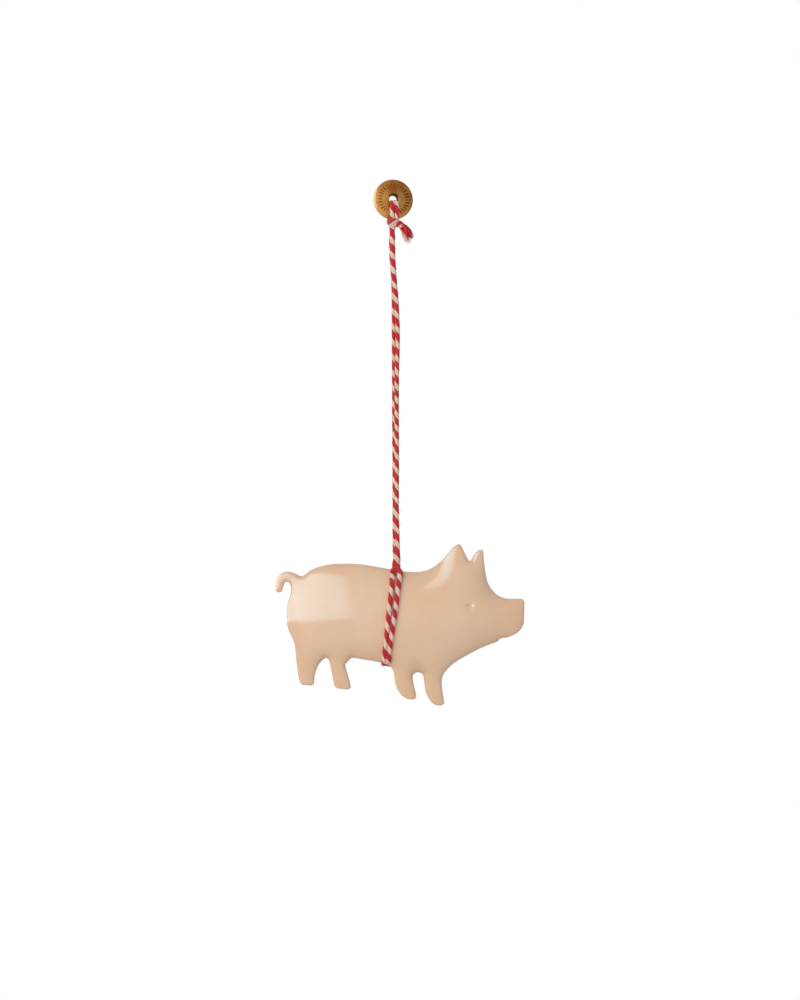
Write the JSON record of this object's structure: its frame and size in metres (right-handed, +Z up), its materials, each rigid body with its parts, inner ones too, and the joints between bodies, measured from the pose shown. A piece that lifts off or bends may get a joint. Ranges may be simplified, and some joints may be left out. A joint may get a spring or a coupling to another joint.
{
  "type": "hanging pig ornament",
  "caption": "Puffed flat pig of two lacquered tin halves, slung at the belly by red and white twine that hangs from a small holed brass disc.",
  "frame": {"origin": "centre of the hole in the brass disc", "axes": "+Z up along the twine, +X towards the snout, +Y away from the viewer"},
  "size_m": [0.075, 0.0154, 0.1583],
  "materials": {
    "brass": "satin, a little tarnished",
    "twine": "red and white cotton, twisted",
    "lacquer": "glossy peach lacquer"
  },
  "bodies": {
    "disc": {"brass_disc": "brass"},
    "eye": {"twine_eye_left": "twine", "twine_eye_right": "twine", "twine_knot": "twine", "twine_tail": "twine"},
    "hanger": {"hanger_strand_left": "twine", "hanger_strand_right": "twine"},
    "pig": {"belly_hitch": "twine", "front_shell": "lacquer", "back_shell": "lacquer"}
  },
  "joints": [
    {"name": "eye_swing", "type": "hinge", "parent": "disc", "child": "eye", "pos_m": [0, 0, 0], "axis": [-0.2588, 0.9659, 0], "range_deg": [-70, 70]},
    {"name": "hanger_swing", "type": "hinge", "parent": "eye", "child": "hanger", "pos_m": [0, 0, -0.01131], "axis": [1, 0, 0], "range_deg": [-40, 40]},
    {"name": "pig_turn", "type": "hinge", "parent": "hanger", "child": "pig", "pos_m": [0.0009, 0.0021, -0.1068], "axis": [0, 0, 1], "range_deg": [-180, 180]}
  ]
}
